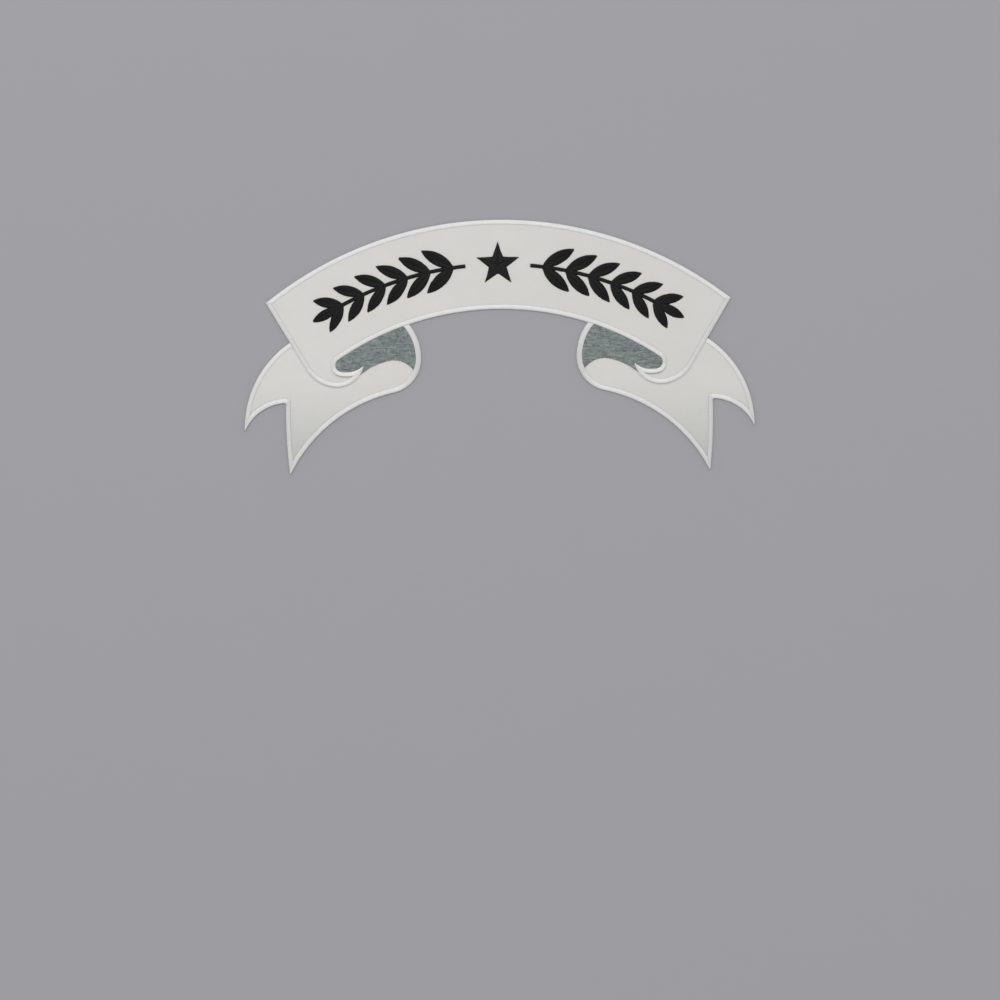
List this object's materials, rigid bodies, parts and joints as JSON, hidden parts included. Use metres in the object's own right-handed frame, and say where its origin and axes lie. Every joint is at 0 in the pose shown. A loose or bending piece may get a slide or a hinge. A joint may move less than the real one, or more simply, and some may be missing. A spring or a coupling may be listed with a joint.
{
  "type": "rocker patch",
  "caption": "Arched ribbon rocker patch in white twill with satin-stitched borders, grey folds, curled ends, swallow tails and a black star between laurel sprays.",
  "frame": {"origin": "middle of the outline's box, on the back face", "axes": "+X to the right as the patch is read, +Y towards the top of the arch, +Z out of the stitched face"},
  "size_m": [0.3556, 0.1758, 0.0022],
  "materials": {
    "white_twill": "fine white polyester twill, matt, lightly puckered",
    "white_thread": "bright white embroidery thread in close satin stitch, soft sheen",
    "grey_thread": "blue-grey embroidery thread in level rows of fill stitch, soft sheen",
    "black_thread": "black embroidery thread in satin stitch, soft sheen"
  },
  "bodies": {
    "root": {"twill_ground": "white_twill", "banner_border": "white_thread", "tail_border_left": "white_thread", "tail_border_right": "white_thread", "fold_fill_left": "grey_thread", "fold_fill_right": "grey_thread", "laurel_left": "black_thread", "laurel_right": "black_thread", "centre_star": "black_thread"}
  },
  "joints": []
}
